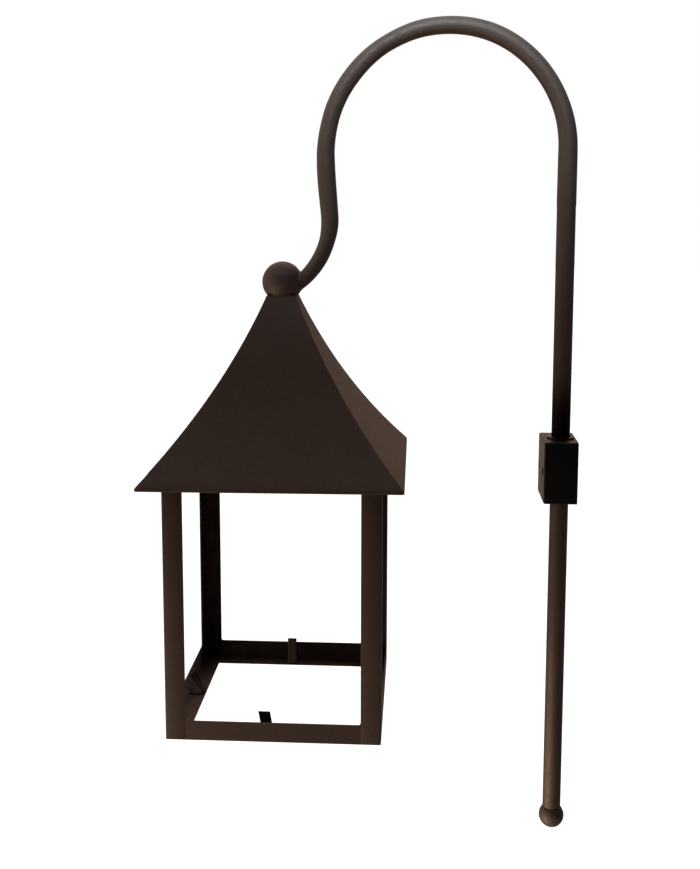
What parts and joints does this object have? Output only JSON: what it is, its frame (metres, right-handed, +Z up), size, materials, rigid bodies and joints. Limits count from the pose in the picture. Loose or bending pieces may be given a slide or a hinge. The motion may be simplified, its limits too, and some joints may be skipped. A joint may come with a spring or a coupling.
{
  "type": "solar garden lantern",
  "caption": "Square lantern with a flared four-sided roof hanging from a gooseneck pole that slides and turns in a small wall block.",
  "frame": {"origin": "centre of the wall block's flat wall face", "axes": "+X out of the block's back into the wall, so the lantern stands off towards -X; +Z up along the pole; +Y along the wall"},
  "size_m": [0.4313, 0.257, 0.8518],
  "materials": {
    "bronze_coat": "satin dark-bronze powder coat",
    "black_block": "satin black-bronze powder coat",
    "black_steel": "black oxide",
    "bush_plastic": "moulded acetal",
    "zinc_steel": "zinc plated",
    "white_plate": "white powder coat",
    "lamp_plastic": "fine moulded grain",
    "button_rubber": "matte",
    "gasket_rubber": "matte",
    "lens_plastic": "frosted",
    "board_metal": "white solder mask",
    "led_phosphor": "soft gloss",
    "cell_wrap": "shrink sleeve",
    "board_green": "solder mask",
    "component_black": "moulded",
    "standoff_brass": "turned",
    "solar_cells": "textured polymer sheet"
  },
  "bodies": {
    "wall_bracket": {"wall_block": "black_block"},
    "bush": {"slip_bush": "bush_plastic"},
    "clamp": {"clamp_screw": "black_steel"},
    "mast": {"mast_pole": "bronze_coat", "gooseneck_tube": "bronze_coat", "coupling_sleeve": "zinc_steel", "hanging_ball": "bronze_coat", "ball_grub_screw": "black_steel", "end_ball": "bronze_coat"},
    "door": {"battery_door": "lamp_plastic"},
    "button": {"switch_button": "button_rubber"},
    "lantern": {"apex_plate": "bronze_coat", "battery_box": "lamp_plastic", "battery_cable": "gasket_rubber", "battery_cell": "cell_wrap", "battery_contacts": "zinc_steel", "board_components": "component_black", "board_screws": "zinc_steel", "board_standoffs": "standoff_brass", "bottom_rail_back": "bronze_coat", "bottom_rail_front": "bronze_coat", "bottom_rail_left": "bronze_coat", "bottom_rail_right": "bronze_coat", "cable_grommet": "gasket_rubber", "ceiling_plate": "white_plate", "ceiling_screws": "zinc_steel", "controller_board": "board_green", "door_hinge": "zinc_steel", "glass_tab_back": "bronze_coat", "glass_tab_front": "bronze_coat", "glass_tab_left": "bronze_coat", "glass_tab_right": "bronze_coat", "hanger_stem": "zinc_steel", "hinge_pin": "zinc_steel", "lamp_cable": "gasket_rubber", "lamp_cup": "lamp_plastic", "lamp_gasket": "gasket_rubber", "lamp_lens": "lens_plastic", "lamp_screws": "zinc_steel", "led_board": "board_metal", "led_emitters": "led_phosphor", "post_back_left": "bronze_coat", "post_back_right": "bronze_coat", "post_front_left": "bronze_coat", "post_front_right": "bronze_coat", "roof_panel_back": "bronze_coat", "roof_panel_front": "bronze_coat", "roof_panel_left": "bronze_coat", "roof_panel_right": "bronze_coat", "solar_cable": "gasket_rubber", "solar_laminate": "solar_cells", "stem_nuts": "zinc_steel", "stem_washers": "zinc_steel", "switch_body": "lamp_plastic", "swivel_washer": "bush_plastic", "top_rail_back": "bronze_coat", "top_rail_front": "bronze_coat", "top_rail_left": "bronze_coat", "top_rail_right": "bronze_coat"}
  },
  "joints": [
    {"name": "bracket_swivel", "type": "hinge", "parent": "wall_bracket", "child": "bush", "pos_m": [-0.015, 0, 0], "axis": [0, 0, 1], "range_deg": [-50, 50]},
    {"name": "height_slide", "type": "slide", "parent": "bush", "child": "mast", "axis": [0, 0, 1], "range_m": [-0.23, 0.33]},
    {"name": "lantern_swivel", "type": "hinge", "parent": "mast", "child": "lantern", "pos_m": [-0.3028, 0, 0.1915], "axis": [0, 0, 1], "continuous": true},
    {"name": "clamp_screw_travel", "type": "slide", "parent": "wall_bracket", "child": "clamp", "axis": [0, 1, 0], "range_m": [0, 0.006]},
    {"name": "battery_door_hinge", "type": "hinge", "parent": "lantern", "child": "door", "pos_m": [-0.3028, 0.083, 0.0012], "axis": [1, 0, 0], "range_deg": [0, 100]},
    {"name": "power_button", "type": "slide", "parent": "lantern", "child": "button", "axis": [0, 0, 1], "range_m": [0, 0.002], "stiffness_N_per_m": 600}
  ]
}
